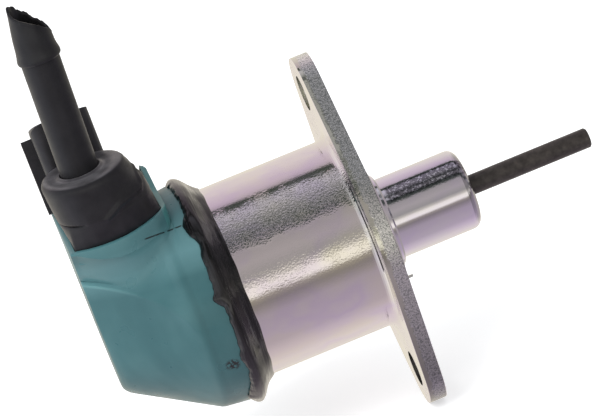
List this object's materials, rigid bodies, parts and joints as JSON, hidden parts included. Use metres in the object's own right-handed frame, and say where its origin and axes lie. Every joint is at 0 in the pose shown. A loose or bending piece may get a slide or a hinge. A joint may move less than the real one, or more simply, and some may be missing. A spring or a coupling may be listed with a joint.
{
  "type": "fuel shutoff solenoid",
  "caption": "Flange-mounted solenoid with a steel case, guide nose, spring-loaded push rod, moulded end cap, rubber lead boot and socket.",
  "frame": {"origin": "centre of the flange's mounting face, on the plunger's axis", "axes": "+X out along the push rod, +Z the way the lead sleeve and the connector leave the end cap; the flange's long axis is clocked 22 degrees from Z towards +Y"},
  "size_m": [0.1022, 0.046, 0.1042],
  "materials": {
    "zinc_case": "bright zinc plate with a faint clear iridescent film",
    "zinc_trim": "bright zinc plate",
    "black_rod": "blackened steel, dull",
    "plain_steel": "machined",
    "spring_steel": "drawn wire",
    "bronze": "sintered bronze",
    "brass": "drawn",
    "copper_wire": "enamelled copper wire",
    "tape": "polyester tape",
    "black_moulding": "glass-filled nylon",
    "red_insulation": "wire insulation",
    "board": "glass-epoxy laminate",
    "teal_cap": "satin moulding",
    "potting": "cast resin",
    "sealant": "glossy, hand-laid",
    "rubber": "satin",
    "sleeve": "satin"
  },
  "bodies": {
    "body": {"flanged_case": "zinc_case", "front_pole_plate": "zinc_trim", "lock_ring": "zinc_trim", "guide_nose": "zinc_case", "rod_bush": "bronze", "bumper_washer": "black_moulding", "return_spring": "spring_steel", "stop_washer": "brass", "fixed_core": "plain_steel", "guide_tube": "brass", "coil_bobbin": "black_moulding", "spring_washer": "spring_steel", "hold_in_winding": "copper_wire", "pull_in_winding": "copper_wire", "winding_tape": "tape", "coil_leads": "red_insulation", "circuit_board": "board", "timing_capacitor": "black_moulding", "driver_transistor": "black_moulding", "potting_seal": "potting", "end_cap": "teal_cap", "sealant_bead": "sealant", "rubber_boot": "rubber", "lead_sleeve": "sleeve", "end_sleeve": "sleeve", "connector_housing": "black_moulding", "terminal_blades": "brass"},
    "plunger": {"push_rod": "black_rod", "armature": "plain_steel", "spring_pin": "spring_steel"}
  },
  "joints": [
    {"name": "plunger_slide", "type": "slide", "parent": "body", "child": "plunger", "axis": [1, 0, 0], "range_m": [-0.012, 0], "stiffness_N_per_m": 400, "springref_m": 0.012, "deforming": ["return_spring"]}
  ]
}
